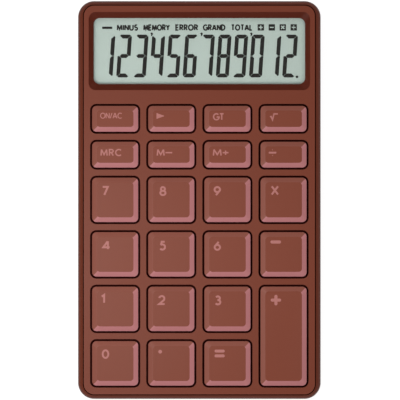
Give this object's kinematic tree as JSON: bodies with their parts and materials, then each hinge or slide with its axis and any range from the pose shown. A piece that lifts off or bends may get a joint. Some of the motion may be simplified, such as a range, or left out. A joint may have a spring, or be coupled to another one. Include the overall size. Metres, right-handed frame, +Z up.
{
  "type": "desk calculator",
  "caption": "Wedge-shaped desk calculator with a sloping deck, sprung bevelled keys, a wide liquid crystal display and a sliding battery door underneath.",
  "frame": {"origin": "centre of the footprint on the table, level with the bottoms of the rubber feet", "axes": "+Z up, +Y from the user towards the display end, +X to the user's right"},
  "size_m": [0.105, 0.1732, 0.0245],
  "materials": {
    "case_plastic": "reddish brown moulded plastic, fine satin grain",
    "key_plastic": "slightly lighter reddish brown moulded plastic, satin",
    "clear_acrylic": "clear polished acrylic",
    "black_foam": "closed-cell foam",
    "display_glass": "thin float glass",
    "display_film": "grey-green polarising film",
    "black_plastic": "black moulded plastic",
    "flex_film": "amber flexible circuit film",
    "circuit_laminate": "green solder-masked laminate",
    "silicone": "pale translucent silicone rubber",
    "black_resin": "black epoxy",
    "nickel": "nickel plate, lightly dulled",
    "black_rubber": "matte rubber",
    "cell_jacket": "printed jacket on a steel can, no lettering",
    "red_insulation": "red wire insulation",
    "black_insulation": "black insulation"
  },
  "bodies": {
    "casing": {"rear_shell": "case_plastic", "front_shell": "case_plastic", "display_window": "clear_acrylic", "display_gasket": "black_foam", "lcd_front_polarizer": "display_film", "lcd_reflector": "display_film", "lcd_front_glass": "display_glass", "lcd_rear_glass": "display_glass", "lcd_tray": "black_plastic", "lcd_ribbon": "flex_film", "main_board": "circuit_laminate", "key_membrane": "silicone", "chip_on_board": "black_resin", "buffer_capacitor": "black_insulation", "ceramic_capacitor": "display_film", "timing_resistor": "black_resin", "battery_cell": "cell_jacket", "positive_contact": "nickel", "negative_contact": "nickel", "contact_spring": "nickel", "red_lead": "red_insulation", "black_lead": "black_insulation", "foot_front_left": "black_rubber", "foot_front_right": "black_rubber", "foot_back_left": "black_rubber", "foot_back_right": "black_rubber", "case_screw_1": "nickel", "case_screw_2": "nickel", "case_screw_3": "nickel", "case_screw_4": "nickel", "case_screw_5": "nickel", "case_screw_6": "nickel", "board_screw_1": "nickel", "board_screw_2": "nickel", "board_screw_3": "nickel", "board_screw_4": "nickel"},
    "key_on_clear": {"key_on_clear": "key_plastic"},
    "key_back_step": {"key_back_step": "key_plastic"},
    "key_grand_total": {"key_grand_total": "key_plastic"},
    "key_square_root": {"key_square_root": "key_plastic"},
    "key_memory_recall": {"key_memory_recall": "key_plastic"},
    "key_memory_minus": {"key_memory_minus": "key_plastic"},
    "key_memory_plus": {"key_memory_plus": "key_plastic"},
    "key_divide": {"key_divide": "key_plastic"},
    "key_7": {"key_7": "key_plastic"},
    "key_8": {"key_8": "key_plastic"},
    "key_9": {"key_9": "key_plastic"},
    "key_multiply": {"key_multiply": "key_plastic"},
    "key_4": {"key_4": "key_plastic"},
    "key_5": {"key_5": "key_plastic"},
    "key_6": {"key_6": "key_plastic"},
    "key_minus": {"key_minus": "key_plastic"},
    "key_1": {"key_1": "key_plastic"},
    "key_2": {"key_2": "key_plastic"},
    "key_3": {"key_3": "key_plastic"},
    "key_plus": {"key_plus": "key_plastic"},
    "key_0": {"key_0": "key_plastic"},
    "key_point": {"key_point": "key_plastic"},
    "key_equals": {"key_equals": "key_plastic"},
    "battery_door": {"battery_door": "case_plastic"}
  },
  "joints": [
    {"name": "key_on_clear_travel", "type": "slide", "parent": "casing", "child": "key_on_clear", "axis": [0, 0.0698, -0.9976], "range_m": [0, 0.0012], "stiffness_N_per_m": 350, "springref_m": -0.0005, "deforming": ["key_membrane"]},
    {"name": "key_back_step_travel", "type": "slide", "parent": "casing", "child": "key_back_step", "axis": [0, 0.0698, -0.9976], "range_m": [0, 0.0012], "stiffness_N_per_m": 350, "springref_m": -0.0005, "deforming": ["key_membrane"]},
    {"name": "key_grand_total_travel", "type": "slide", "parent": "casing", "child": "key_grand_total", "axis": [0, 0.0698, -0.9976], "range_m": [0, 0.0012], "stiffness_N_per_m": 350, "springref_m": -0.0005, "deforming": ["key_membrane"]},
    {"name": "key_square_root_travel", "type": "slide", "parent": "casing", "child": "key_square_root", "axis": [0, 0.0698, -0.9976], "range_m": [0, 0.0012], "stiffness_N_per_m": 350, "springref_m": -0.0005, "deforming": ["key_membrane"]},
    {"name": "key_memory_recall_travel", "type": "slide", "parent": "casing", "child": "key_memory_recall", "axis": [0, 0.0698, -0.9976], "range_m": [0, 0.0012], "stiffness_N_per_m": 350, "springref_m": -0.0005, "deforming": ["key_membrane"]},
    {"name": "key_memory_minus_travel", "type": "slide", "parent": "casing", "child": "key_memory_minus", "axis": [0, 0.0698, -0.9976], "range_m": [0, 0.0012], "stiffness_N_per_m": 350, "springref_m": -0.0005, "deforming": ["key_membrane"]},
    {"name": "key_memory_plus_travel", "type": "slide", "parent": "casing", "child": "key_memory_plus", "axis": [0, 0.0698, -0.9976], "range_m": [0, 0.0012], "stiffness_N_per_m": 350, "springref_m": -0.0005, "deforming": ["key_membrane"]},
    {"name": "key_divide_travel", "type": "slide", "parent": "casing", "child": "key_divide", "axis": [0, 0.0698, -0.9976], "range_m": [0, 0.0012], "stiffness_N_per_m": 350, "springref_m": -0.0005, "deforming": ["key_membrane"]},
    {"name": "key_7_travel", "type": "slide", "parent": "casing", "child": "key_7", "axis": [0, 0.0698, -0.9976], "range_m": [0, 0.0012], "stiffness_N_per_m": 350, "springref_m": -0.0005, "deforming": ["key_membrane"]},
    {"name": "key_8_travel", "type": "slide", "parent": "casing", "child": "key_8", "axis": [0, 0.0698, -0.9976], "range_m": [0, 0.0012], "stiffness_N_per_m": 350, "springref_m": -0.0005, "deforming": ["key_membrane"]},
    {"name": "key_9_travel", "type": "slide", "parent": "casing", "child": "key_9", "axis": [0, 0.0698, -0.9976], "range_m": [0, 0.0012], "stiffness_N_per_m": 350, "springref_m": -0.0005, "deforming": ["key_membrane"]},
    {"name": "key_multiply_travel", "type": "slide", "parent": "casing", "child": "key_multiply", "axis": [0, 0.0698, -0.9976], "range_m": [0, 0.0012], "stiffness_N_per_m": 350, "springref_m": -0.0005, "deforming": ["key_membrane"]},
    {"name": "key_4_travel", "type": "slide", "parent": "casing", "child": "key_4", "axis": [0, 0.0698, -0.9976], "range_m": [0, 0.0012], "stiffness_N_per_m": 350, "springref_m": -0.0005, "deforming": ["key_membrane"]},
    {"name": "key_5_travel", "type": "slide", "parent": "casing", "child": "key_5", "axis": [0, 0.0698, -0.9976], "range_m": [0, 0.0012], "stiffness_N_per_m": 350, "springref_m": -0.0005, "deforming": ["key_membrane"]},
    {"name": "key_6_travel", "type": "slide", "parent": "casing", "child": "key_6", "axis": [0, 0.0698, -0.9976], "range_m": [0, 0.0012], "stiffness_N_per_m": 350, "springref_m": -0.0005, "deforming": ["key_membrane"]},
    {"name": "key_minus_travel", "type": "slide", "parent": "casing", "child": "key_minus", "axis": [0, 0.0698, -0.9976], "range_m": [0, 0.0012], "stiffness_N_per_m": 350, "springref_m": -0.0005, "deforming": ["key_membrane"]},
    {"name": "key_1_travel", "type": "slide", "parent": "casing", "child": "key_1", "axis": [0, 0.0698, -0.9976], "range_m": [0, 0.0012], "stiffness_N_per_m": 350, "springref_m": -0.0005, "deforming": ["key_membrane"]},
    {"name": "key_2_travel", "type": "slide", "parent": "casing", "child": "key_2", "axis": [0, 0.0698, -0.9976], "range_m": [0, 0.0012], "stiffness_N_per_m": 350, "springref_m": -0.0005, "deforming": ["key_membrane"]},
    {"name": "key_3_travel", "type": "slide", "parent": "casing", "child": "key_3", "axis": [0, 0.0698, -0.9976], "range_m": [0, 0.0012], "stiffness_N_per_m": 350, "springref_m": -0.0005, "deforming": ["key_membrane"]},
    {"name": "key_plus_travel", "type": "slide", "parent": "casing", "child": "key_plus", "axis": [0, 0.0698, -0.9976], "range_m": [0, 0.0012], "stiffness_N_per_m": 350, "springref_m": -0.0005, "deforming": ["key_membrane"]},
    {"name": "key_0_travel", "type": "slide", "parent": "casing", "child": "key_0", "axis": [0, 0.0698, -0.9976], "range_m": [0, 0.0012], "stiffness_N_per_m": 350, "springref_m": -0.0005, "deforming": ["key_membrane"]},
    {"name": "key_point_travel", "type": "slide", "parent": "casing", "child": "key_point", "axis": [0, 0.0698, -0.9976], "range_m": [0, 0.0012], "stiffness_N_per_m": 350, "springref_m": -0.0005, "deforming": ["key_membrane"]},
    {"name": "key_equals_travel", "type": "slide", "parent": "casing", "child": "key_equals", "axis": [0, 0.0698, -0.9976], "range_m": [0, 0.0012], "stiffness_N_per_m": 350, "springref_m": -0.0005, "deforming": ["key_membrane"]},
    {"name": "battery_door_slide", "type": "slide", "parent": "casing", "child": "battery_door", "axis": [0, 1, 0], "range_m": [0, 0.02]}
  ]
}
